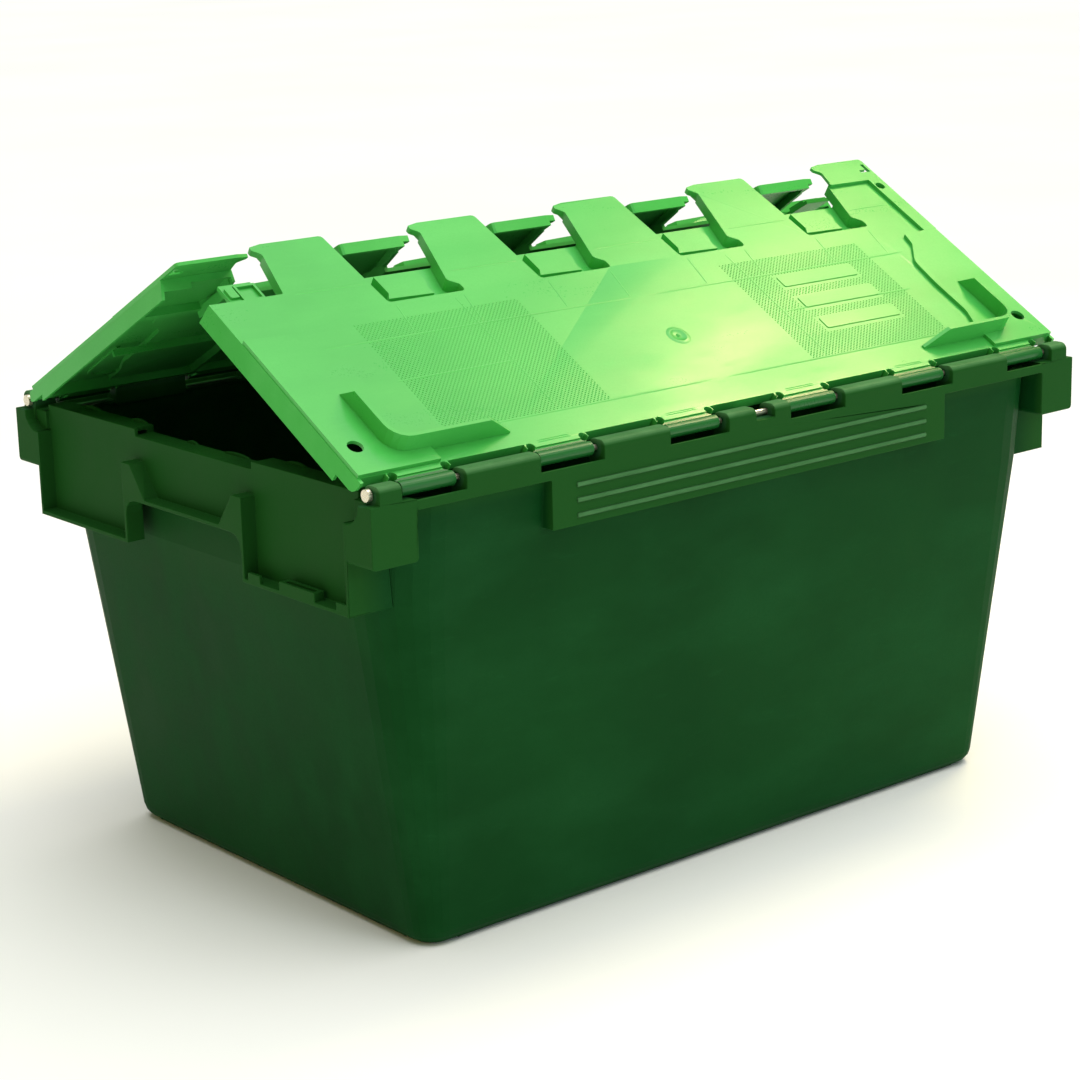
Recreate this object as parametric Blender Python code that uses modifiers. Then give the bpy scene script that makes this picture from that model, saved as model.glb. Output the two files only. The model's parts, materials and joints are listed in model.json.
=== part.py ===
"""Attached lid tote: one moulded body, two interlocking lid halves and two hinge rods.

The tote stands on z = 0 with its length along X. The front lid hinges on the -Y side and the rear
lid, the same moulding turned half a turn about Z, on the +Y side. Both lids rest half open, leaning
against each other like a tent. Units are metres.
"""
import math

import bmesh
import bpy
from mathutils import Matrix, Vector

# Driving dimensions of the body
HALF_LENGTH = 0.355
HALF_WIDTH = 0.232
WALL = 0.003
BASE_HALF = (0.293, 0.193)
SHOULDER_HALF = (0.331, 0.217)
SHOULDER_Z = 0.262
BASE_CORNER = 0.020
SHOULDER_CORNER = 0.045
FLOOR_EDGE = 0.012
WALL_TOP = 0.3375
FOOT_RISE = 0.0025

# Hinge
AXIS_Y = 0.221
AXIS_Z = 0.348
ROD_RADIUS = 0.0022
BORE_RADIUS = 0.0026
ROD_HEAD_RADIUS = 0.0045
BARREL_RADIUS = 0.0052
KNUCKLE_RADIUS = 0.0065
KNUCKLES = ((0.0, 0.0315), (0.0892, 0.1519), (0.2096, 0.2744), (0.3287, 0.3472))
STRIP_BOTTOM = 0.334
TROUGH_TOP = 0.337
LIP_TOP = 0.341
LIP_INNER_Y = 0.2295

# End frames of the body
SKIRT_BOTTOM = 0.2615
PANEL_X = 0.343
DECK_INNER_X = 0.325
POCKET_TOP = 0.3465
HANDLE_TOP = 0.341
POCKET_INNER_Y = 0.078
POCKET_OUTER_Y = 0.2025
HANDLE_HALF = 0.076
HANDLE_ARCH_Z = 0.2955
BLOCK_INNER_X = 0.3167
BLOCK_BOTTOM = 0.299
BLOCK_TOP = 0.3417
BLOCK_SCOOP = 0.015

# Lid, in its own frame: u along the hinge, v away from it, n up when closed
LID_HALF = 0.3505
LID_TOP = 0.0039
LID_PLATE = 0.0026
LID_SKIRT = 0.0085
EAR_BOTTOM = -0.0008
FINGER_PITCH = 0.143
FINGER_TIP = 0.262
RECESS_ROOT = 0.1785
STRIP_EDGE = 0.2045
FLAP_START = 0.236
FLANGE_DEPTH = 0.0146
FLANGE_LEAN = 0.004
PLATEAU_RISE = 0.003
STACK_RIB_TOP = 0.020
TAB_TOP = 0.0006
WELL_TOP = -0.0065
WELL_BOTTOM = -0.0095
WELL_END = 0.2202
LOOP_TOP = -0.0042
BARREL_PLATE_V = 0.008
BARREL_GAP = 0.0046
KNUCKLE_NOTCH_V = 0.0126
FRONT_TILT = math.radians(30.0)
REAR_TILT = math.radians(28.5)

TOTE_GREEN = (0.020, 0.070, 0.026)
LID_GREEN = (0.055, 0.400, 0.085)
ROD_STEEL = (0.70, 0.64, 0.50)

HALF_TURN = Matrix.Diagonal((-1, -1, 1, 1))
# The three directions in which an outline is drawn: its own x, y and thickness in the object's axes
FACING = {
    "X": Matrix(((0, 0, 1, 0), (1, 0, 0, 0), (0, 1, 0, 0), (0, 0, 0, 1))),
    "Y": Matrix(((1, 0, 0, 0), (0, 0, -1, 0), (0, 1, 0, 0), (0, 0, 0, 1))),
    "Z": Matrix.Identity(4),
}


def clear_scene():
    for item in list(bpy.data.objects):
        bpy.data.objects.remove(item, do_unlink=True)


def collection(name):
    group = bpy.data.collections.new(name)
    bpy.context.scene.collection.children.link(group)
    return group


def plastic(name, colour, roughness, metallic=0.0):
    material = bpy.data.materials.new(name)
    material.use_nodes = True
    shader = material.node_tree.nodes["Principled BSDF"]
    shader.inputs["Base Color"].default_value = (*colour, 1.0)
    shader.inputs["Roughness"].default_value = roughness
    shader.inputs["Metallic"].default_value = metallic
    return material


def snap(mesh):
    """Rounds a shape to a micrometre, so that faces meant to be flush share one plane exactly."""
    for vertex in mesh.vertices:
        vertex.co = [round(value, 6) for value in vertex.co]


def new_piece(name, mesh, group):
    piece = bpy.data.objects.new(name, mesh)
    group.objects.link(piece)
    return piece


def rounded(corners, steps=3):
    """A closed outline from (x, y) or (x, y, fillet) corners, each fillet a short arc."""
    points = []
    for index, corner in enumerate(corners):
        here = Vector(corner[:2])
        radius = corner[2] if len(corner) > 2 else 0.0
        if radius == 0.0:
            points.append(here)
            continue
        back = (Vector(corners[index - 1][:2]) - here).normalized()
        ahead = (Vector(corners[(index + 1) % len(corners)][:2]) - here).normalized()
        half = back.angle(ahead) / 2
        centre = here + (back + ahead).normalized() * radius / math.sin(half)
        start = here + back * radius / math.tan(half) - centre
        end = here + ahead * radius / math.tan(half) - centre
        turn = math.atan2(start.x * end.y - start.y * end.x, start.dot(end))
        for step in range(steps + 1):
            points.append(centre + Matrix.Rotation(turn * step / steps, 2) @ start)
    return points


def slab(corners, low, high, facing="Z", steps=3):
    """A mesh object: a flat outline given a thickness from low to high along one axis."""
    curve = bpy.data.curves.new("outline", "CURVE")
    curve.dimensions = "2D"
    curve.fill_mode = "BOTH"
    curve.extrude = (high - low) / 2
    points = rounded(corners, steps)
    spline = curve.splines.new("POLY")
    spline.points.add(len(points) - 1)
    for target, point in zip(spline.points, points):
        target.co = (point.x, point.y, 0.0, 1.0)
    spline.use_cyclic_u = True
    outline = new_piece("outline", curve, bpy.context.scene.collection)
    evaluated = outline.evaluated_get(bpy.context.evaluated_depsgraph_get())
    mesh = bpy.data.meshes.new_from_object(evaluated)
    bpy.data.objects.remove(outline)
    bpy.data.curves.remove(curve)
    sign = -1.0 if facing == "Y" else 1.0
    middle = Matrix.Translation((0, 0, sign * (low + high) / 2))
    mesh.transform(FACING[facing] @ middle)
    shape = bmesh.new()
    shape.from_mesh(mesh)
    bmesh.ops.remove_doubles(shape, verts=shape.verts, dist=1e-6)
    bmesh.ops.dissolve_limit(shape, angle_limit=0.001, verts=shape.verts, edges=shape.edges)
    bmesh.ops.recalc_face_normals(shape, faces=shape.faces)
    shape.to_mesh(mesh)
    shape.free()
    snap(mesh)
    return new_piece("slab", mesh, tools)


def box(x, y, z):
    """A block between the (low, high) pairs of its three axes."""
    shape = bmesh.new()
    centre = Matrix.Translation(((x[0] + x[1]) / 2, (y[0] + y[1]) / 2, (z[0] + z[1]) / 2))
    size = Matrix.Diagonal((abs(x[1] - x[0]), abs(y[1] - y[0]), abs(z[1] - z[0]), 1.0))
    bmesh.ops.create_cube(shape, size=1.0, matrix=centre @ size)
    mesh = bpy.data.meshes.new("block")
    shape.to_mesh(mesh)
    shape.free()
    snap(mesh)
    return new_piece("block", mesh, tools)


def rod(radius, low, high, centre=(0.0, 0.0), segments=24, facing="X"):
    """A cylinder along one axis, from low to high, about a centre in the other two."""
    shape = bmesh.new()
    bmesh.ops.create_cone(shape, cap_ends=True, segments=segments, radius1=radius, radius2=radius,
                          depth=high - low, matrix=Matrix.Translation((0, 0, (low + high) / 2)))
    mesh = bpy.data.meshes.new("rod")
    shape.to_mesh(mesh)
    shape.free()
    mesh.transform(FACING[facing] @ Matrix.Translation((*centre, 0.0)))
    return new_piece("rod", mesh, tools)


def turned(piece):
    """A copy of a shape turned half a turn about Z, for the opposite end or side."""
    mesh = piece.data.copy()
    mesh.transform(HALF_TURN)
    return new_piece(piece.name + "_turned", mesh, tools)


def mirrored(piece, axis):
    """A copy of a shape reflected in X or Y."""
    mesh = piece.data.copy()
    scale = (-1, 1, 1, 1) if axis == "X" else (1, -1, 1, 1)
    mesh.transform(Matrix.Diagonal(scale))
    mesh.flip_normals()
    return new_piece(piece.name + "_mirrored", mesh, tools)


def weld(mesh, distance=2e-6):
    """Merges the near-coincident points that a Boolean leaves where faces meet."""
    shape = bmesh.new()
    shape.from_mesh(mesh)
    bmesh.ops.remove_doubles(shape, verts=shape.verts, dist=distance)
    bmesh.ops.dissolve_degenerate(shape, edges=shape.edges, dist=distance)
    bmesh.ops.triangulate(shape, faces=[face for face in shape.faces if len(face.verts) > 3])
    shape.to_mesh(mesh)
    shape.free()


def combine(body, shapes, operation):
    """Applies one Boolean for each shape, in order, and removes the shape."""
    for shape in shapes:
        modifier = body.modifiers.new("combine", "BOOLEAN")
        modifier.operation = operation
        modifier.solver = "MANIFOLD"  # EXACT leaves open edges where many faces are flush
        modifier.object = shape
        evaluated = body.evaluated_get(bpy.context.evaluated_depsgraph_get())
        mesh = bpy.data.meshes.new_from_object(evaluated)
        body.modifiers.clear()
        weld(mesh)
        body.data = mesh
        bpy.data.objects.remove(shape)
    return body


def add(body, *shapes):
    return combine(body, shapes, "UNION")


def cut(body, *shapes):
    return combine(body, shapes, "DIFFERENCE")


def keep_tidy(piece):
    """Joins the flat fragments that the Booleans leave and shades round parts smooth."""
    shape = bmesh.new()
    shape.from_mesh(piece.data)
    bmesh.ops.remove_doubles(shape, verts=shape.verts, dist=1e-6)
    bmesh.ops.dissolve_limit(shape, angle_limit=0.002, verts=shape.verts, edges=shape.edges)
    shape.to_mesh(piece.data)
    shape.free()
    piece.data.shade_smooth()
    piece.data.set_sharp_from_angle(angle=math.radians(32))


# --- body ---------------------------------------------------------------------------------------

def tub_half(z):
    """Half sizes of the tub's outer face at a height; the ends stand straight above the shoulder."""
    share = z / SHOULDER_Z
    length = BASE_HALF[0] + (SHOULDER_HALF[0] - BASE_HALF[0]) * min(share, 1.0)
    width = BASE_HALF[1] + (SHOULDER_HALF[1] - BASE_HALF[1]) * share
    corner = BASE_CORNER + (SHOULDER_CORNER - BASE_CORNER) * min(share, 1.0)
    return length, width, corner


def tub_ring(shape, z, inset, steps=6):
    length, width, corner = tub_half(z)
    radius = corner - inset * 0.8
    ring = []
    for quarter, (side_x, side_y) in enumerate(((1, 1), (-1, 1), (-1, -1), (1, -1))):
        centre_x = side_x * (length - inset - radius)
        centre_y = side_y * (width - inset - radius)
        for step in range(steps + 1):
            angle = math.pi / 2 * (quarter + step / steps)
            point = (centre_x + radius * math.cos(angle), centre_y + radius * math.sin(angle), z)
            ring.append(shape.verts.new(point))
    return ring


def make_tub():
    """The tapered shell, a loft through rounded rectangles, with its floor."""
    shape = bmesh.new()
    floor_steps = 4
    rings = []
    for step in range(floor_steps + 1):
        angle = math.pi / 2 * step / floor_steps
        z = FLOOR_EDGE * (1 - math.cos(angle))
        rings.append(tub_ring(shape, z, FLOOR_EDGE * (1 - math.sin(angle))))
    rings.append(tub_ring(shape, SHOULDER_Z, 0.0))
    rings.append(tub_ring(shape, WALL_TOP, 0.0))
    shape.faces.new(reversed(rings[0]))
    for lower, upper in zip(rings, rings[1:]):
        for index in range(len(lower)):
            following = (index + 1) % len(lower)
            shape.faces.new((lower[index], lower[following], upper[following], upper[index]))
    mesh = bpy.data.meshes.new("tub")
    shape.to_mesh(mesh)
    shape.free()
    tub = new_piece("tote_body", mesh, parts)
    shell = tub.modifiers.new("wall", "SOLIDIFY")
    shell.thickness = WALL
    shell.offset = -1.0
    shell.use_even_offset = True
    evaluated = tub.evaluated_get(bpy.context.evaluated_depsgraph_get())
    tub.data = bpy.data.meshes.new_from_object(evaluated)
    tub.modifiers.clear()
    return tub


def raise_floor_edges(tub):
    """Lifts the floor's edge between the four corners, which are left as feet."""
    foot = 0.031
    band = 0.040
    below = (-0.001, FOOT_RISE)
    above = (WALL - 0.0005, WALL + FOOT_RISE)
    long_run = (-(BASE_HALF[0] - foot), BASE_HALF[0] - foot)
    short_run = (-(BASE_HALF[1] - foot), BASE_HALF[1] - foot)
    for side in (1, -1):
        long_band = sorted((side * (BASE_HALF[1] - band), side * (BASE_HALF[1] - 0.004)))
        short_band = sorted((side * (BASE_HALF[0] - band), side * (BASE_HALF[0] - 0.004)))
        add(tub, box(long_run, long_band, above), box(short_band, short_run, above))
    for side in (1, -1):
        long_cut = sorted((side * (BASE_HALF[1] - band), side * (BASE_HALF[1] + 0.02)))
        short_cut = sorted((side * (BASE_HALF[0] - band), side * (BASE_HALF[0] + 0.02)))
        cut(tub, box(long_run, long_cut, below), box(short_cut, short_run, below))


def knuckle(low, high):
    """One body knuckle: flat on its outer face, rounded over the hinge axis."""
    inner = AXIS_Y - KNUCKLE_RADIUS
    top = AXIS_Z + KNUCKLE_RADIUS
    outline = ((inner, STRIP_BOTTOM), (HALF_WIDTH, STRIP_BOTTOM), (HALF_WIDTH, top, 0.0055),
               (inner, top, 0.0062))
    return slab(outline, low, high, "X", steps=5)


def knuckle_spans():
    for start, end in KNUCKLES:
        if start == 0.0:
            yield -end, end
        else:
            yield start, end
            yield -end, -start


def make_long_side():
    """Shapes of the +Y side: hinge strip, lip, knuckles and the hanging panel with three ribs."""
    run = BLOCK_INNER_X + 0.002
    strip = ((0.219, STRIP_BOTTOM), (HALF_WIDTH, STRIP_BOTTOM), (HALF_WIDTH, LIP_TOP),
             (LIP_INNER_Y, LIP_TOP), (LIP_INNER_Y, TROUGH_TOP), (0.219, TROUGH_TOP))
    shapes = [slab(strip, -run, run, "X")]
    for side in (1, -1):
        fill = ((side * 0.283, 0.2205), (side * run, 0.204), (side * run, 0.231), (side * 0.283, 0.231))
        shapes.append(slab(fill, STRIP_BOTTOM, TROUGH_TOP))
    shapes += [knuckle(low, high) for low, high in knuckle_spans()]
    panel_half = 0.2006
    panel_bottom = 0.2985
    face = box((-panel_half, panel_half), (LIP_INNER_Y, HALF_WIDTH), (panel_bottom, STRIP_BOTTOM + 0.001))
    shapes.append(face)
    for side in (1, -1):
        cheek = sorted((side * (panel_half - 0.0026), side * panel_half))
        outline = ((0.2190, panel_bottom), (0.2305, panel_bottom), (0.2305, 0.335), (0.2222, 0.335))
        shapes.append(slab(outline, *cheek, "X"))
    for z in (0.3275, 0.3165, 0.3057):
        shapes.append(rod(0.0021, -0.1785, 0.1785, (HALF_WIDTH - 0.0006, z), 12))
    return shapes


def make_corner_block():
    """The +X +Y corner block, hollow from below, with a scoop in its end face beside the pocket."""
    outline = ((BLOCK_INNER_X, BLOCK_BOTTOM, 0.003), (HALF_LENGTH, BLOCK_BOTTOM, 0.003),
               (HALF_LENGTH, BLOCK_TOP), (BLOCK_INNER_X, BLOCK_TOP))
    block = slab(outline, POCKET_OUTER_Y - 0.0015, HALF_WIDTH, "Y")
    hollow = box((BLOCK_INNER_X + WALL, HALF_LENGTH - WALL), (POCKET_OUTER_Y + 0.0015, HALF_WIDTH - WALL),
                 (BLOCK_BOTTOM - 0.001, BLOCK_TOP - WALL))
    scoop_shell = rod(BLOCK_SCOOP + WALL, 0.343, 0.354, (POCKET_OUTER_Y, BLOCK_TOP))
    cut(hollow, scoop_shell)
    scoop = rod(BLOCK_SCOOP, 0.346, HALF_LENGTH + 0.001, (POCKET_OUTER_Y, BLOCK_TOP))
    return cut(block, hollow, scoop)


def make_end_frame():
    """Shapes of the +X end: rim deck, handle panel, the two pockets and their frames."""
    shapes = [
        box((DECK_INNER_X, 0.331), (-0.079, 0.079), (0.330, HANDLE_TOP)),
        box((DECK_INNER_X, PANEL_X), (-0.079, 0.079), (HANDLE_TOP - WALL, HANDLE_TOP)),
        box((PANEL_X - WALL, PANEL_X), (-0.079, 0.079), (HANDLE_ARCH_Z, HANDLE_TOP)),
        box((PANEL_X - WALL, HALF_LENGTH), (-0.050, 0.050), (HANDLE_ARCH_Z, HANDLE_ARCH_Z + WALL)),
    ]
    outer = POCKET_OUTER_Y
    cheek = ((0.079, SKIRT_BOTTOM), (0.079, 0.323), (0.067, 0.323), (0.049, HANDLE_ARCH_Z + WALL),
             (0.049, HANDLE_ARCH_Z), (HANDLE_HALF, HANDLE_ARCH_Z, 0.012), (HANDLE_HALF, SKIRT_BOTTOM))
    scoop_bottom = BLOCK_TOP - BLOCK_SCOOP
    side_wall = ((0.3178, SKIRT_BOTTOM), (HALF_LENGTH, SKIRT_BOTTOM), (HALF_LENGTH, scoop_bottom),
                 (PANEL_X, scoop_bottom), (PANEL_X, 0.335), (0.323, 0.335))
    pocket = [
        box((DECK_INNER_X, 0.331), (POCKET_INNER_Y, 0.200), (0.330, POCKET_TOP)),
        box((DECK_INNER_X, PANEL_X), (POCKET_INNER_Y, outer), (POCKET_TOP - WALL, POCKET_TOP)),
        box((PANEL_X - WALL, PANEL_X), (HANDLE_HALF, outer), (SKIRT_BOTTOM, POCKET_TOP)),
        box((PANEL_X - WALL, HALF_LENGTH), (HANDLE_HALF, outer), (SKIRT_BOTTOM, SKIRT_BOTTOM + WALL)),
        slab(cheek, PANEL_X - 0.0015, HALF_LENGTH, "X"),
        slab(side_wall, outer - WALL, outer, "Y"),
        box((DECK_INNER_X + 0.001, PANEL_X), (outer - WALL, outer), (0.330, POCKET_TOP)),
        make_corner_block(),
    ]
    shapes += pocket + [mirrored(shape, "Y") for shape in pocket]
    shapes += make_label_clips()
    return shapes


def make_label_clips():
    """Two tabs and a slotted catch on the ledge of one pocket, which hold a label card."""
    ledge = SKIRT_BOTTOM + WALL - 0.0005
    front = (0.3525, HALF_LENGTH)
    catch = box((0.346, HALF_LENGTH), (0.121, 0.163), (ledge, 0.271))
    cut(catch, box((0.349, 0.3525), (0.125, 0.159), (0.2655, 0.272)))
    return [
        box(front, (0.083, 0.098), (ledge, 0.270)),
        box(front, (0.188, 0.201), (ledge, 0.270)),
        catch,
    ]


def make_body():
    body = make_tub()
    raise_floor_edges(body)
    long_side = make_long_side()
    end_frame = make_end_frame()
    for shape in long_side + end_frame:
        opposite = turned(shape)
        add(body, shape, opposite)
    bore = rod(BORE_RADIUS, -0.360, 0.360, (AXIS_Y, AXIS_Z), 16)
    notch = box((-0.015, 0.004), (AXIS_Y - 0.012, HALF_WIDTH + 0.001), (0.3450, 0.360))
    for shape in (bore, notch):
        opposite = turned(shape)
        cut(body, shape, opposite)
    keep_tidy(body)
    return body


# --- lid ----------------------------------------------------------------------------------------

def finger_offsets():
    return [(index - 2) * FINGER_PITCH for index in range(5)]


def hinge_edge():
    """The plate's edge along the hinge, stepping back behind each body knuckle."""
    spans = sorted(knuckle_spans())
    edge = [(-LID_HALF, KNUCKLE_NOTCH_V)]
    for (_, left), (right, _) in zip(spans, spans[1:]):
        edge += [(left + 0.001, KNUCKLE_NOTCH_V), (left + 0.001, BARREL_PLATE_V),
                 (right - 0.001, BARREL_PLATE_V), (right - 0.001, KNUCKLE_NOTCH_V)]
    edge.append((LID_HALF, KNUCKLE_NOTCH_V))
    return edge


def finger_tip(offset):
    """The free end of a finger, from its right corner round the ear to the neck."""
    return [(offset + 0.0675, FINGER_TIP, 0.003), (offset + 0.013, FINGER_TIP, 0.003),
            (offset + 0.0028, 0.2598, 0.001), (offset + 0.0025, 0.256, 0.0015),
            (offset + 0.0083, 0.2505, 0.003)]


def recess(offset):
    """The recess to the right of a finger, from the next finger's base to this one's."""
    following = offset + FINGER_PITCH
    return [(following - 0.0065, 0.193, 0.003), (following + 0.001, 0.1866, 0.002),
            (following + 0.0015, RECESS_ROOT, 0.003), (offset + 0.0735, RECESS_ROOT, 0.003)]


def lid_outline():
    offsets = finger_offsets()
    last = offsets[-1]
    outline = hinge_edge()
    outline += [(LID_HALF, FLAP_START), (last + 0.0042, FLAP_START)]
    for offset in reversed(offsets[:-1]):
        outline += recess(offset) + finger_tip(offset)
    outline += [(-0.2880, STRIP_EDGE, 0.002), (-LID_HALF, STRIP_EDGE)]
    return outline


def make_well(offset):
    """The tray in a recess that the opposite lid's finger drops into, with its locating tab."""
    tray = box((offset + 0.069, offset + FINGER_PITCH + 0.004), (0.1755, WELL_END), (WELL_BOTTOM, -0.002))
    following = offset + FINGER_PITCH
    hollow = recess(offset) + [(offset + 0.0702, 0.226), (following + 0.002, 0.226)]
    cut(tray, slab(hollow, WELL_TOP, 0.010))
    tab = ((0.0830, 0.2118), (0.0834, 0.1918), (0.0798, 0.1858), (0.1204, 0.1845),
           (0.1193, 0.1917), (0.1230, 0.2019), (0.1187, 0.2086))
    add(tray, slab([(offset + u, v) for u, v in tab], WELL_TOP - 0.001, TAB_TOP))
    return tray


def make_end_well():
    """The tray beside the first finger, with a square seal loop and a small round tab."""
    across = (-0.3225, -0.2950)
    tray = box(across, (0.2015, 0.2345), (WELL_BOTTOM, WELL_TOP))
    root = box(across, (0.2015, 0.2040), (WELL_BOTTOM, -0.002))
    loop = box((-0.3130, -0.2950), (0.2125, 0.2305), (WELL_TOP - 0.001, LOOP_TOP))
    cut(loop, box((-0.3110, -0.2970), (0.2145, 0.2285), (WELL_TOP, LOOP_TOP + 0.001)))
    tab = slab(((-0.3210, 0.218, 0.002), (-0.3140, 0.218), (-0.3140, 0.230), (-0.3210, 0.230, 0.002)),
               WELL_TOP - 0.001, WELL_TOP + 0.002)
    return add(tray, root, loop, tab)


def make_flange(side, length):
    """An end flange of the plate: leaning outwards, rounded at the hinge, deeper past v = 0.03."""
    start = BARREL_PLATE_V
    shallow = -0.0058
    outline = ((start, LID_TOP), (start, shallow, 0.006), (0.030, shallow), (0.030, LID_TOP - FLANGE_DEPTH),
               (length, LID_TOP - FLANGE_DEPTH), (length, LID_TOP))
    flange = slab(outline, *sorted((side * (LID_HALF - LID_PLATE), side * LID_HALF)), "X")
    lean = Matrix.Identity(4)
    lean[0][2] = -side * FLANGE_LEAN / FLANGE_DEPTH
    lean[0][3] = side * LID_TOP * FLANGE_LEAN / FLANGE_DEPTH
    flange.data.transform(lean)
    return flange


def make_stacking_rib():
    """The L-shaped rib near the +u corner, its two ends sloped down to the plate."""
    foot = LID_TOP - 0.001
    outline = ((0.3115, 0.092), (0.3145, 0.092), (0.3145, 0.0260, 0.016), (0.211, 0.0260), (0.211, 0.0290),
               (0.3115, 0.0290, 0.013))
    rib = slab(outline, foot, STACK_RIB_TOP, steps=5)
    slope_v = ((0.078, STACK_RIB_TOP), (0.094, LID_TOP), (0.110, LID_TOP), (0.110, 0.030), (0.078, 0.030))
    slope_u = ((0.233, STACK_RIB_TOP), (0.209, LID_TOP), (0.200, LID_TOP), (0.200, 0.030), (0.233, 0.030))
    cut(rib, slab(slope_v, 0.300, 0.330, "X"), slab(slope_u, 0.020, 0.035, "Y"))
    return rib


def plateau_outline(inset=0.0):
    """The raised end of the plate, an S-shaped step on its inner side."""
    return ((LID_HALF - 0.0005 - inset, 0.0130 + inset), (LID_HALF - 0.0005 - inset, 0.1600 - inset),
            (0.311 + inset, 0.1580 - inset), (0.308 + inset, 0.145, 0.010), (0.291 + inset, 0.124, 0.015),
            (0.2885 + inset, 0.096), (0.2886 + inset, 0.056, 0.02), (0.281 + inset, 0.036),
            (0.281 + inset, 0.0130 + inset))


def pocket_bays():
    """Hollows under the plate between its ribs, drawn as (u, v) boxes."""
    bays = 5
    rib = 0.0025
    inner = LID_HALF - 0.003
    width = (2 * inner - (bays - 1) * rib) / bays
    for index in range(bays):
        low = -inner + index * (width + rib)
        yield (low, low + width), (0.0165, 0.0950)
        yield (low, low + width), (0.0975, 0.1755)
    for side in (1, -1):
        yield sorted((side * 0.3220, side * inner)), (0.0940, 0.0985)


def finger_pocket(offset):
    return ((offset + 0.0045, 0.1825), (offset + 0.0702, 0.1825), (offset + 0.0645, 0.2588),
            (offset + 0.0165, 0.2588), (offset + 0.0120, 0.2500), (offset - 0.0020, 0.1945))


def make_lid_mesh():
    """One lid half about its hinge axis: u along X, v along Y and its top face up."""
    skirt_bottom = LID_TOP - LID_SKIRT
    under_plate = LID_TOP - LID_PLATE
    lid = slab(lid_outline(), skirt_bottom, LID_TOP, steps=2)
    plateau_foot = LID_TOP - 0.001
    for side in (1, -1):
        outline = [(side * u, v, *fillet) for u, v, *fillet in plateau_outline()]
        add(lid, slab(outline, plateau_foot, LID_TOP + PLATEAU_RISE))
    last = finger_offsets()[-1]
    flap_top = LID_TOP + PLATEAU_RISE + 0.0001
    flap = ((LID_HALF, 0.2334), (LID_HALF, FINGER_TIP, 0.003), (last + 0.013, FINGER_TIP, 0.003),
            (last + 0.0028, 0.2598, 0.001), (last + 0.0025, 0.256, 0.0015), (last + 0.0083, 0.2505, 0.003),
            (last + 0.0045, 0.2334))
    add(lid, slab(flap, LID_TOP + 0.0005, flap_top),
        box((last + 0.0042, LID_HALF), (0.2334, FLAP_START), (under_plate, flap_top)),
        box((0.336, LID_HALF), (0.1590, FLAP_START), (under_plate, flap_top)))
    floor = skirt_bottom - 0.001
    for u, v in pocket_bays():
        cut(lid, box(u, v, (floor, under_plate)))
    for offset in finger_offsets()[:-1]:
        cut(lid, slab(finger_pocket(offset), floor, under_plate))
    cut(lid, slab(((last + 0.0045, 0.1825), (0.3475, 0.1825), (0.3475, 0.2334), (last + 0.0078, 0.2334),
                   (last - 0.0020, 0.1945)), floor, under_plate))
    cut(lid, box((0.2925, 0.3265), (0.2325, 0.2370), (floor, -0.0005)))
    for offset in finger_offsets()[:-1]:  # the ears pass over the other lid's recess corners
        cut(lid, box((offset + 0.0010, offset + 0.0100), (0.2490, 0.2640), (floor, EAR_BOTTOM)))
    for side in (1, -1):
        outline = [(side * u, v, *fillet) for u, v, *fillet in plateau_outline(0.003)]
        cut(lid, slab(outline, under_plate - 0.001, under_plate + PLATEAU_RISE))
    for offset in finger_offsets()[:-1]:
        add(lid, make_well(offset))
    add(lid, make_end_well())
    add(lid, make_flange(1, FLAP_START), make_flange(-1, STRIP_EDGE))
    rib = make_stacking_rib()
    opposite = mirrored(rib, "X")
    add(lid, rib, opposite)
    spans = sorted(knuckle_spans())
    for (_, left), (right, _) in zip(spans, spans[1:]):
        add(lid, rod(BARREL_RADIUS, left + BARREL_GAP, right - BARREL_GAP))
        add(lid, box((left + BARREL_GAP + 0.0004, right - BARREL_GAP - 0.0004), (0.0010, 0.0095),
                     (skirt_bottom, LID_TOP - 0.0012)))
    cut(lid, rod(BORE_RADIUS, -0.332, 0.332, segments=18))
    for (_, left), (right, _) in zip(spans, spans[1:]):
        for u in (left + 0.0050, right - 0.0050):
            cut(lid, rod(0.0036, -0.010, 0.010, (u, 0.0092), 14, "Z"))
    for side in (1, -1):
        cut(lid, rod(0.006, -0.010, 0.020, (side * 0.335, 0.0395), 16, "Z"))
    through = (under_plate, 0.020)
    cut(lid, box((0.337, 0.348), (0.244, 0.2475), through), box((0.3445, 0.348), (0.244, 0.2545), through))
    cut(lid, rod(0.0045, -0.002, 0.020, (0.3415, 0.2235), 12, "Z"))
    keep_tidy(lid)
    return lid


# --- hinge rods -----------------------------------------------------------------------------------

def make_rod_mesh():
    """The hinge rod with a pressed head at each end."""
    length = KNUCKLES[-1][1] + 0.0006
    shaft = rod(ROD_RADIUS, -length - 0.001, length + 0.001, segments=16)
    for side in (1, -1):
        head = sorted((side * length, side * (length + 0.0035)))
        add(shaft, rod(ROD_HEAD_RADIUS, *head, segments=16))
    keep_tidy(shaft)
    return shaft


def finish_piece(name, source, material, matrix):
    piece = new_piece(name, source.data, parts)
    piece.matrix_world = matrix
    if not source.data.materials:
        source.data.materials.append(material)
    return piece


clear_scene()
parts = collection("attached_lid_tote")
tools = collection("tools")

tote_body = make_body()
tote_body.data.materials.append(plastic("tote_plastic", TOTE_GREEN, 0.5))

lid_source = make_lid_mesh()
rod_source = make_rod_mesh()
lid_plastic = plastic("lid_plastic", LID_GREEN, 0.35)
rod_steel = plastic("rod_steel", ROD_STEEL, 0.3, 1.0)

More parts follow.
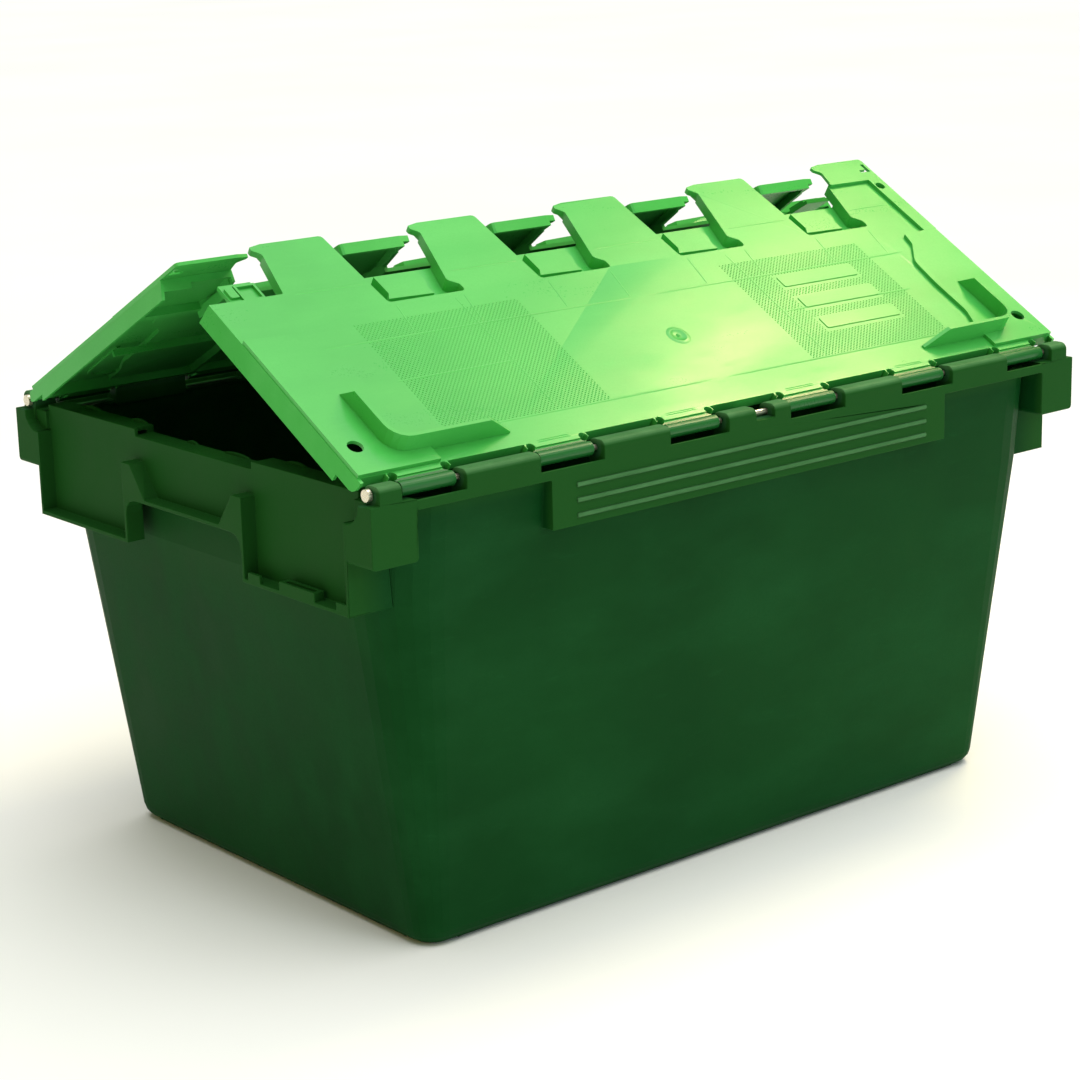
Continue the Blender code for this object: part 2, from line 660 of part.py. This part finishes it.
front_axis = Matrix.Translation((0.0, -AXIS_Y, AXIS_Z))
rear_axis = Matrix.Translation((0.0, AXIS_Y, AXIS_Z)) @ HALF_TURN
finish_piece("front_lid", lid_source, lid_plastic, front_axis @ Matrix.Rotation(FRONT_TILT, 4, "X"))
finish_piece("rear_lid", lid_source, lid_plastic, rear_axis @ Matrix.Rotation(REAR_TILT, 4, "X"))
finish_piece("front_hinge_rod", rod_source, rod_steel, front_axis)
finish_piece("rear_hinge_rod", rod_source, rod_steel, rear_axis)
for source in (lid_source, rod_source):
    bpy.data.objects.remove(source)
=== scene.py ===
"""Looks of the attached lid tote: plastics, rods, moulded surface details, studio light and camera.

Lid details are drawn in the lid's own frame (u along the hinge, v away from it, n up when closed)
and placed once on each lid, because both lids come from one mould.
"""
import json
import math

import bmesh
import bpy
from mathutils import Matrix, Vector


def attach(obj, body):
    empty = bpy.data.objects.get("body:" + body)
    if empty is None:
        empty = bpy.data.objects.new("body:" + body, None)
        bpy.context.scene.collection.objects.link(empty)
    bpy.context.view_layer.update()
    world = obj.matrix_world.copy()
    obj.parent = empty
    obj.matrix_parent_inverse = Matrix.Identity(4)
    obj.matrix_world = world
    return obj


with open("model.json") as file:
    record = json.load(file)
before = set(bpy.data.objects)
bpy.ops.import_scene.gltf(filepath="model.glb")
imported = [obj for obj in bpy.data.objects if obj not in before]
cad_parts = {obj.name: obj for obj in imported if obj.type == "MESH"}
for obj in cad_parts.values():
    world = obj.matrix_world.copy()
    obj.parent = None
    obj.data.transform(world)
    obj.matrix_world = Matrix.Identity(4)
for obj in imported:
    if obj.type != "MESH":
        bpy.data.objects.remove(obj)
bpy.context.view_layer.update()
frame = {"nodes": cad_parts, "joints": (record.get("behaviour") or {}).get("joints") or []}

scene = bpy.context.scene
scene.view_settings.view_transform = "Standard"

# --- camera --------------------------------------------------------------------------------------

CAMERA_AZIMUTH = math.radians(-39.66)
CAMERA_ELEVATION = math.radians(14.77)
CAMERA_ROLL = math.radians(-1.44)
CAMERA_AIM = Vector((-0.0120, 0.0100, 0.2115))
CAMERA_DISTANCE = 2.1626
CAMERA_LENS = 89.15


def make_camera():
    back = Vector((math.sin(CAMERA_AZIMUTH) * math.cos(CAMERA_ELEVATION),
                   -math.cos(CAMERA_AZIMUTH) * math.cos(CAMERA_ELEVATION), math.sin(CAMERA_ELEVATION)))
    data = bpy.data.cameras.new("camera")
    data.lens = CAMERA_LENS
    data.sensor_width = 36.0
    data.clip_end = 200.0
    camera = bpy.data.objects.new("camera", data)
    scene.collection.objects.link(camera)
    turn = back.to_track_quat("Z", "Y").to_matrix().to_4x4() @ Matrix.Rotation(CAMERA_ROLL, 4, "Z")
    camera.matrix_world = Matrix.Translation(CAMERA_AIM + back * CAMERA_DISTANCE) @ turn
    scene.camera = camera


# --- material helpers ----------------------------------------------------------------------------

def new_material(name):
    material = bpy.data.materials.new(name)
    material.use_nodes = True
    return material, material.node_tree, material.node_tree.nodes["Principled BSDF"]


def node(tree, kind, values=None, **settings):
    made = tree.nodes.new(kind)
    for key, value in settings.items():
        setattr(made, key, value)
    for key, value in (values or {}).items():
        made.inputs[key].default_value = value
    return made


def noise(tree, source, scale, detail=3.0, roughness=0.55, stretch=(1, 1, 1), turn=(0, 0, 0)):
    mapping = node(tree, "ShaderNodeMapping", {"Scale": stretch, "Rotation": turn})
    tree.links.new(source, mapping.inputs["Vector"])
    made = node(tree, "ShaderNodeTexNoise", {"Scale": scale, "Detail": detail, "Roughness": roughness})
    tree.links.new(mapping.outputs["Vector"], made.inputs["Vector"])
    return made.outputs["Fac"]


def ramp(tree, source, low, high, start=0.35, end=0.65):
    made = node(tree, "ShaderNodeMapRange",
                {"From Min": start, "From Max": end, "To Min": low, "To Max": high})
    tree.links.new(source, made.inputs["Value"])
    return made.outputs["Result"]


def blend(tree, factor, first, second):
    """Mixes two colours, each a tuple or a socket, by a factor that is a socket."""
    made = node(tree, "ShaderNodeMix", data_type="RGBA")
    tree.links.new(factor, made.inputs[0])
    for socket, value in ((made.inputs[6], first), (made.inputs[7], second)):
        if isinstance(value, bpy.types.NodeSocket):
            tree.links.new(value, socket)
        else:
            socket.default_value = (*value, 1.0)
    return made.outputs[2]


def maths(tree, operation, first, second):
    made = node(tree, "ShaderNodeMath", operation=operation)
    for socket, value in zip(made.inputs, (first, second)):
        if isinstance(value, bpy.types.NodeSocket):
            tree.links.new(value, socket)
        else:
            socket.default_value = value
    return made.outputs[0]


def bump(tree, layers):
    """Stacks (height socket, distance, strength) layers into one normal."""
    normal = None
    for height, distance, strength in layers:
        made = node(tree, "ShaderNodeBump", {"Distance": distance, "Strength": strength})
        tree.links.new(height, made.inputs["Height"])
        if normal:
            tree.links.new(normal, made.inputs["Normal"])
        normal = made.outputs["Normal"]
    return normal


def hinge_closeness(tree, place, near, far):
    """1 within near of either hinge axis, fading to 0 at far."""
    axis = frame["joints"][0]["pos_m"]
    split = node(tree, "ShaderNodeSeparateXYZ")
    tree.links.new(place, split.inputs[0])
    across = maths(tree, "SUBTRACT", maths(tree, "ABSOLUTE", split.outputs[1], 0.0), abs(axis[1]))
    above = maths(tree, "SUBTRACT", split.outputs[2], axis[2])
    squares = maths(tree, "ADD", maths(tree, "MULTIPLY", across, across),
                    maths(tree, "MULTIPLY", above, above))
    return ramp(tree, maths(tree, "SQRT", squares, 0.0), 1.0, 0.0, near, far)


def beyond(tree, place, steps):
    """1 where |x|, |y| or z passes its (low, high) step, fading in between; the largest one counts."""
    split = node(tree, "ShaderNodeSeparateXYZ")
    tree.links.new(place, split.inputs[0])
    shares = [ramp(tree, maths(tree, "ABSOLUTE", split.outputs[axis], 0.0), 0.0, 1.0, low, high)
              for axis, (low, high) in steps.items()]
    total = shares[0]
    for share in shares[1:]:
        total = maths(tree, "MAXIMUM", total, share)
    return total


# Where the painted light on the rim and the painted highlight on the rib and knuckle tops fade in, as
# {axis: (low, high)} for beyond().
RIM_PAINTED_LIGHT_STEPS = {0: (0.3240, 0.3440), 1: (0.2235, 0.2300), 2: (0.3240, 0.3400)}
CREST_PAINTED_HIGHLIGHT_STEPS = {1: (0.2321, 0.2332), 2: (0.3505, 0.3535)}
HINGE_NEAR = 0.0069
HINGE_FAR = 0.0078
POLYPROPYLENE_IOR = 1.49


def moulded_plastic(name, deep, base, pale, roughness, grain, scuffs, specular,
                    hinge=None, rim=None, crest_highlight=None, matt_below=False):
    """Injection-moulded polypropylene: cloudy pigment, spark-eroded grain, flow waves and scuffs.

    The hinge, rim and crest colours are painted light and shade: painted light on the tote's knuckles and
    painted shade on the lid's barrels near the hinge axis, painted light on the tote's rim, and a painted
    highlight on the rib and knuckle tops, broken up by scuff noise; matt_below takes the shine off
    surfaces that face down.
    """
    material, tree, shader = new_material(name)
    place = node(tree, "ShaderNodeTexCoord").outputs["Object"]
    cloud = noise(tree, place, 4.5, 4.0)
    speck = noise(tree, place, 620.0, 2.0)
    flow = noise(tree, place, 16.0, 4.0, stretch=(0.45, 1.6, 1.0))
    rubbed_and_highlight = noise(tree, place, 34.0, 7.0, 0.68, stretch=(1.0, 1.0, 5.0), turn=(0.35, 0.5, 0.2))
    nicks = noise(tree, place, 95.0, 5.0, 0.72, stretch=(0.25, 2.4, 1.6), turn=(0.2, 0.1, 0.7))
    colour = blend(tree, ramp(tree, cloud, 0.0, 1.0), deep, base)
    colour = blend(tree, ramp(tree, flow, 0.0, 0.35, 0.42, 0.75), colour, pale)
    colour = blend(tree, ramp(tree, speck, 0.0, 0.22, 0.45, 0.75), colour, deep)
    scuff = maths(tree, "MAXIMUM", ramp(tree, rubbed_and_highlight, 0.0, scuffs, 0.60, 0.78),
                  ramp(tree, nicks, 0.0, scuffs, 0.66, 0.80))
    colour = blend(tree, scuff, colour, pale)
    # Painted light on the rim: the outer rim zone lighter than the walls below it.
    if rim:
        share = maths(tree, "MULTIPLY", beyond(tree, place, RIM_PAINTED_LIGHT_STEPS), 0.8)
        colour = blend(tree, share, colour, rim)
    # Painted light and shade near the hinge axis: lighter knuckles on the tote, darker barrels on the lid.
    if hinge:
        share = maths(tree, "MULTIPLY", hinge_closeness(tree, place, HINGE_NEAR, HINGE_FAR), 0.85)
        colour = blend(tree, share, colour, hinge)
    # Painted highlight on the rib and knuckle tops, broken up by the scuff noise.
    if crest_highlight:
        painted_highlight_share = maths(tree, "MULTIPLY", beyond(tree, place, CREST_PAINTED_HIGHLIGHT_STEPS),
                     ramp(tree, rubbed_and_highlight, 0.45, 0.95, 0.3, 0.7))
        colour = blend(tree, painted_highlight_share, colour, crest_highlight)
    tree.links.new(colour, shader.inputs["Base Color"])
    rough = maths(tree, "ADD", ramp(tree, flow, roughness - 0.05, roughness + 0.06),
                  maths(tree, "MULTIPLY", scuff, 0.5))
    rough = maths(tree, "ADD", rough, ramp(tree, speck, -0.03, 0.03))
    tree.links.new(rough, shader.inputs["Roughness"])
    grains = noise(tree, place, 1500.0, 2.0)
    waves = noise(tree, place, 9.0, 2.0)
    normal = bump(tree, [(grains, 0.00012, grain), (nicks, 0.0002, 0.12), (waves, 0.004, 0.10)])
    tree.links.new(normal, shader.inputs["Normal"])
    shader.inputs["Specular IOR Level"].default_value = specular
    if matt_below:
        facing = node(tree, "ShaderNodeSeparateXYZ")
        tree.links.new(node(tree, "ShaderNodeTexCoord").outputs["Normal"], facing.inputs[0])
        tree.links.new(ramp(tree, facing.outputs[2], specular * 0.1, specular, -0.75, -0.35),
                       shader.inputs["Specular IOR Level"])
    shader.inputs["IOR"].default_value = POLYPROPYLENE_IOR
    return material


def plated_steel(name):
    """Zinc-plated rod: drawn along its length, with a pale yellow film and dull spots."""
    material, tree, shader = new_material(name)
    place = node(tree, "ShaderNodeTexCoord").outputs["Object"]
    drawn = noise(tree, place, 60.0, 5.0, 0.6, stretch=(0.4, 26.0, 26.0))
    spots = noise(tree, place, 140.0, 4.0)
    colour = blend(tree, ramp(tree, drawn, 0.0, 1.0), (0.62, 0.55, 0.40), (0.86, 0.82, 0.68))
    colour = blend(tree, ramp(tree, spots, 0.0, 0.6, 0.58, 0.72), colour, (0.40, 0.35, 0.25))
    tree.links.new(colour, shader.inputs["Base Color"])
    tree.links.new(ramp(tree, drawn, 0.22, 0.42), shader.inputs["Roughness"])
    tree.links.new(bump(tree, [(drawn, 0.0001, 0.25)]), shader.inputs["Normal"])
    shader.inputs["Metallic"].default_value = 0.85
    return material


# Tote: the rim colour is painted light, the hinge colour is painted light on the knuckles, and the colour
# for the rib and knuckle tops is a painted highlight.
TOTE = moulded_plastic(
    "tote_polypropylene", deep=(0.0032, 0.046, 0.0085), base=(0.0045, 0.058, 0.0110),
    pale=(0.016, 0.100, 0.030), roughness=0.52, grain=0.30, scuffs=0.28, specular=0.04,
    hinge=(0.019, 0.085, 0.030), rim=(0.0130, 0.082, 0.0125), crest_highlight=(0.075, 0.210, 0.080))
# Lid: the hinge colour is painted shade, the barrels darker than the rest of the lid.
LID = moulded_plastic(
    "lid_polypropylene", deep=(0.048, 0.400, 0.060), base=(0.064, 0.470, 0.078),
    pale=(0.110, 0.560, 0.130), roughness=0.34, grain=0.14, scuffs=0.22, specular=0.36,
    hinge=(0.002, 0.070, 0.012), matt_below=True)
ROD = plated_steel("zinc_plated_steel")


# --- CAD nodes -----------------------------------------------------------------------------------

WELD_DISTANCE = 0.00001
BEVEL_FROM_ANGLE = math.radians(34)
LID_EDGE = 0.0005
TOTE_EDGE = 0.0007
ROD_EDGE = 0.0003


def soften_edges(name, width, clamp=False):
    """Rounds a CAD node's edges with modifiers: joined facets, then a small bevel.

    The lids need the clamp: without it their rounded meshes run into each other when closed.
    """
    piece = frame["nodes"][name]
    join = piece.modifiers.new("join", "WELD")
    join.merge_threshold = WELD_DISTANCE
    edge = piece.modifiers.new("edge", "BEVEL")
    edge.width = width
    edge.segments = 2
    edge.limit_method = "ANGLE"
    edge.angle_limit = BEVEL_FROM_ANGLE
    edge.use_clamp_overlap = clamp
    edge.miter_outer = "MITER_ARC"
    edge.harden_normals = True


def paint(name, material):
    slots = frame["nodes"][name].data.materials
    slots.clear()
    slots.append(material)


for name in ("front_lid", "rear_lid"):
    paint(name, LID)
    soften_edges(name, LID_EDGE, clamp=True)
paint("tote_body", TOTE)
soften_edges("tote_body", TOTE_EDGE)
for name in ("front_hinge_rod", "rear_hinge_rod"):
    paint(name, ROD)
    soften_edges(name, ROD_EDGE)


# --- moulded details on the lids -------------------------------------------------------------------

LID_TOP = 0.0039
SUNK = 0.0002  # how far a detail's foot reaches into the plate
RIDGE_SUNK = 0.00005
DOT_PITCH = 0.0034
DOT_RADIUS = 0.00078
DOT_HEIGHT = 0.00042
DOT_SIDES = 6
TURNED_SIDES = 28
FINGER_PITCH = 0.143


def lid_frames():
    """For each lid, the matrix from its own frame to its place at rest; joint value low is closed."""
    places = {}
    for joint in frame["joints"]:
        tilt = Matrix.Rotation(math.radians(-joint["range_deg"][0]), 4, "X")
        facing = Matrix.Rotation(0.0 if joint["axis"][0] > 0 else math.pi, 4, "Z")
        places[joint["child"]] = Matrix.Translation(joint["pos_m"]) @ facing @ tilt
    return places


def ring(shape, u, v, radius, height, sides):
    return [shape.verts.new((u + radius * math.cos(math.tau * i / sides),
                             v + radius * math.sin(math.tau * i / sides), height))
            for i in range(sides)]


def skin(shape, loops):
    """Joins each closed loop of points to the next one with faces."""
    for lower, upper in zip(loops, loops[1:]):
        for i in range(len(lower)):
            j = (i + 1) % len(lower)
            shape.faces.new((lower[i], lower[j], upper[j], upper[i]))


def dome(shape, u, v, radius, height):
    """A low round-topped dot standing on the plate."""
    profile = ((radius, -SUNK), (radius * 0.92, height * 0.35), (radius * 0.55, height * 0.85))
    loops = [ring(shape, u, v, size, LID_TOP + rise, DOT_SIDES) for size, rise in profile]
    skin(shape, loops)
    top = shape.verts.new((u, v, LID_TOP + height))
    for i in range(DOT_SIDES):
        shape.faces.new((loops[-1][i], loops[-1][(i + 1) % DOT_SIDES], top))


def ridge(shape, start, end, width, height):
    """A soft raised line between two (u, v) points, fading out at both ends."""
    along = Vector(end) - Vector(start)
    across = Vector((-along.y, along.x)).normalized() * width / 2
    profile = ((-1.0, 0.0), (-0.55, 0.45), (0.0, 1.0), (0.55, 0.45), (1.0, 0.0))
    stations = ((0.0, 0.0), (0.04, 0.75), (0.12, 1.0), (0.5, 1.0), (0.88, 1.0), (0.96, 0.75), (1.0, 0.0))
    loops = []
    for share, fade in stations:
        centre = Vector(start) + along * share
        row = []
        for side, rise in profile:
            point = centre + across * side
            row.append(shape.verts.new((point.x, point.y, LID_TOP - RIDGE_SUNK + height * fade * rise)))
        loops.append(row)
    for first, second in zip(loops, loops[1:]):
        for i in range(len(profile) - 1):
            shape.faces.new((first[i], second[i], second[i + 1], first[i + 1]))


def turned_profile(shape, u, v, profile):
    """A shape turned about an upright axis on the plate, from (radius, height above it) points."""
    loops = [ring(shape, u, v, radius, LID_TOP + rise, TURNED_SIDES) for radius, rise in profile]
    skin(shape, loops)
    shape.faces.new(loops[-1])


def pad(shape, u, v, height, bevel=0.0004, fillet=0.002):
    """A raised rectangular pad with rounded corners and a bevelled rim."""
    loops = []
    for inset, level in ((0.0, -SUNK), (0.0, height - bevel), (bevel, height)):
        row = []
        for quarter, (side_u, side_v) in enumerate(((1, 1), (0, 1), (0, 0), (1, 0))):
            centre_u = u[side_u] + (fillet if side_u == 0 else -fillet)
            centre_v = v[side_v] + (fillet if side_v == 0 else -fillet)
            for step in range(5):
                angle = math.pi / 2 * (quarter + step / 4)
                reach = fillet - inset
                row.append(shape.verts.new((centre_u + reach * math.cos(angle),
                                            centre_v + reach * math.sin(angle), LID_TOP + level)))
        loops.append(row)
    skin(shape, loops)
    shape.faces.new(loops[-1])


BARS = [((0.141, 0.224), (v - 0.0065, v + 0.0065)) for v in (0.129, 0.102, 0.075)]


def draw_dots(shape):
    """Two fields of anti-slip dots; the field at the right leaves room for three plain bars."""
    rows = int(0.119 / (DOT_PITCH * 0.5))
    for side, (low, high) in ((-1, (-0.2555, -0.1070)), (1, (0.1000, 0.2530))):
        for row in range(rows + 1):
            v = 0.0405 + row * DOT_PITCH * 0.5
            u = low + (DOT_PITCH / 2 if row % 2 else 0.0)
            while u <= high:
                clear = side < 0 or all(not (a - 0.003 < u < b + 0.003 and c - 0.0025 < v < d + 0.0025)
                                        for (a, b), (c, d) in BARS)
                if clear:
                    dome(shape, u, v, DOT_RADIUS, DOT_HEIGHT)
                u += DOT_PITCH


def draw_lines(shape):
    """Thin raised lines where the mould's inserts meet and over the ribs underneath."""
    for v, reach in ((0.1405, 0.296), (0.0385, 0.268)):
        ridge(shape, (-reach, v), (-0.006, v), 0.0019, 0.00042)
        ridge(shape, (0.006, v), (reach, v), 0.0019, 0.00042)
    for low, high in ((-0.262, -0.150), (0.112, 0.262)):
        ridge(shape, (low, 0.0962), (high, 0.0962), 0.0022, 0.00050)
    for u in (-0.1560, 0.1165):
        ridge(shape, (u, 0.0400), (u, 0.1735), 0.0019, 0.00036)
    for index in range(4):
        root = (index - 2) * FINGER_PITCH + 0.0735
        ridge(shape, (root + 0.004, 0.1745), (root - 0.001, 0.1420), 0.0017, 0.00036)
        ridge(shape, (root + 0.066, 0.1745), (root + 0.061, 0.1420), 0.0017, 0.00036)
    for low, high, rows in ((0.0450, 0.0760, (0.0122, 0.0140)), (0.1650, 0.1965, (0.0122, 0.0140)),
                            (0.2875, 0.3155, (0.0120,))):
        for side in (-1, 1):
            for v in rows:
                ridge(shape, (side * low, v), (side * high, v), 0.0011, 0.0003)
    for low, high in ((-0.280, -0.219), (-0.142, -0.076), (0.001, 0.067), (0.144, 0.210), (0.287, 0.331)):
        ridge(shape, (low, 0.2020), (high, 0.2020), 0.0017, 0.00036)


def draw_gate(shape):
    """The injection point: a raised ring round a sunken disc with a broken-off sprue stub."""
    turned_profile(shape, 0.0, 0.091, (
        (0.0105, -0.0001), (0.0090, 0.00025), (0.0074, 0.0006), (0.0066, 0.0006),
        (0.0060, 0.0001), (0.0020, 0.00005), (0.0014, 0.0009), (0.0006, 0.0011)))


def draw_bars(shape):
    for u, v in BARS:
        pad(shape, u, v, 0.0007)


def drawn_mesh(name, draw, material, smooth_angle, outward=False):
    """The mesh that draw makes, shaded smooth up to an angle in degrees."""
    shape = bmesh.new()
    draw(shape)
    if outward:
        bmesh.ops.recalc_face_normals(shape, faces=shape.faces)
    mesh = bpy.data.meshes.new(name)
    shape.to_mesh(mesh)
    shape.free()
    mesh.materials.append(material)
    mesh.shade_smooth()
    mesh.set_sharp_from_angle(angle=math.radians(smooth_angle))
    return mesh


def lid_piece(name, draw, material, smooth_angle=50):
    """One shared mesh, placed on both lids."""
    mesh = drawn_mesh(name, draw, material, smooth_angle)
    for lid, matrix in lid_frames().items():
        piece = bpy.data.objects.new(lid + "_" + name, mesh)
        scene.collection.objects.link(piece)
        piece.matrix_world = matrix
        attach(piece, lid)


lid_piece("grip_dots", draw_dots, LID)
lid_piece("mould_lines", draw_lines, LID)
lid_piece("gate_mark", draw_gate, LID)
lid_piece("plain_bars", draw_bars, LID, 20)


# --- moulded details on the tote -------------------------------------------------------------------

def lens(shape, x, y, foot, rise, thickness):
    """A thin upright wall along Y with an arched top, sunk slightly into the deck under it."""
    steps = 12
    half = thickness / 2
    rows = []
    for step in range(steps + 1):
        share = step / steps
        at = y[0] + (y[1] - y[0]) * share
        top = foot + rise * math.sin(math.pi * share) ** 0.6
        rows.append([shape.verts.new(point) for point in (
            (x - half, at, foot - 0.0004), (x - half * 0.9, at, top - 0.0003), (x - half * 0.5, at, top),
            (x + half * 0.5, at, top), (x + half * 0.9, at, top - 0.0003), (x + half, at, foot - 0.0004))])
    for first, second in zip(rows, rows[1:]):
        for i in range(5):
            shape.faces.new((first[i], first[i + 1], second[i + 1], second[i]))
    shape.faces.new(list(reversed(rows[0])))
    shape.faces.new(rows[-1])


def tote_piece(name, draw):
    """The same detail at both ends of the tote, the second turned half a turn about Z."""
    mesh = drawn_mesh(name, draw, TOTE, 40, outward=True)
    for end, turn in (("left", 0.0), ("right", math.pi)):
        piece = bpy.data.objects.new(end + "_" + name, mesh)
        scene.collection.objects.link(piece)
        piece.matrix_world = Matrix.Rotation(turn, 4, "Z")
        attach(piece, "tote")


DECK_RIB_X = -0.3268
DECK_RIB_SIZE = 0.0022
MIDDLE_DECK = 0.3410
POCKET_DECK = 0.3465
DECK_RIBS = (((-0.052, -0.018), MIDDLE_DECK), ((0.016, 0.030), MIDDLE_DECK),
             ((-0.122, -0.096), POCKET_DECK), ((0.084, 0.106), POCKET_DECK), ((0.150, 0.176), POCKET_DECK))


def draw_deck_ribs(shape):
    """Low locating ribs along the inner edge of the rim deck."""
    for y, foot in DECK_RIBS:
        lens(shape, DECK_RIB_X, y, foot, DECK_RIB_SIZE, DECK_RIB_SIZE)


tote_piece("deck_ribs", draw_deck_ribs)


# --- stage ---------------------------------------------------------------------------------------

def make_floor():
    """A plain pale floor, wide enough to fill every view."""
    material, tree, shader = new_material("floor_paint")
    place = node(tree, "ShaderNodeTexCoord").outputs["Object"]
    cloud = noise(tree, place, 1.2, 3.0)
    tree.links.new(blend(tree, ramp(tree, cloud, 0.0, 1.0), (0.90, 0.90, 0.90), (0.93, 0.93, 0.93)),
                   shader.inputs["Base Color"])
    tree.links.new(ramp(tree, cloud, 0.75, 0.85), shader.inputs["Roughness"])
    shader.inputs["Specular IOR Level"].default_value = 0.1
    mesh = bpy.data.meshes.new("floor")
    shape = bmesh.new()
    bmesh.ops.create_grid(shape, x_segments=4, y_segments=4, size=60.0)
    shape.to_mesh(mesh)
    shape.free()
    mesh.materials.append(material)
    floor = bpy.data.objects.new("floor", mesh)
    scene.collection.objects.link(floor)


def make_world(colour, strength):
    world = bpy.data.worlds.new("studio")
    world.use_nodes = True
    background = world.node_tree.nodes["Background"]
    background.inputs["Color"].default_value = (*colour, 1.0)
    background.inputs["Strength"].default_value = strength
    scene.world = world


def make_light(name, kind, place, aim, energy, colour=(1, 1, 1), **settings):
    data = bpy.data.lights.new(name, kind)
    data.energy = energy
    data.color = colour
    for key, value in settings.items():
        setattr(data, key, value)
    light = bpy.data.objects.new(name, data)
    scene.collection.objects.link(light)
    direction = Vector(place) - Vector(aim)
    turn = direction.to_track_quat("Z", "Y").to_matrix().to_4x4()
    light.matrix_world = Matrix.Translation(place) @ turn


make_camera()
make_floor()
make_world((1.0, 1.0, 0.82), 0.24)
make_light("overhead", "SUN", (0.45, -0.35, 3.0), (0, 0, 0), 2.9, (1.0, 1.0, 0.98), angle=math.radians(75))
make_light("warm_window", "AREA", (0.98, -0.02, 1.36), (0.10, -0.12, 0.40), 9.0, (1.0, 0.84, 0.38),
           shape="RECTANGLE", size=0.34, size_y=0.28)
make_light("left_fill", "AREA", (-2.4, -0.4, 1.1), (0, 0, 0.2), 4.5, (1.0, 0.94, 0.08),
           shape="DISK", size=1.2)
make_light("front_fill", "AREA", (0.4, -3.0, 1.3), (0, 0, 0.2), 16.0, (0.80, 1.0, 1.0),
           shape="DISK", size=1.4)
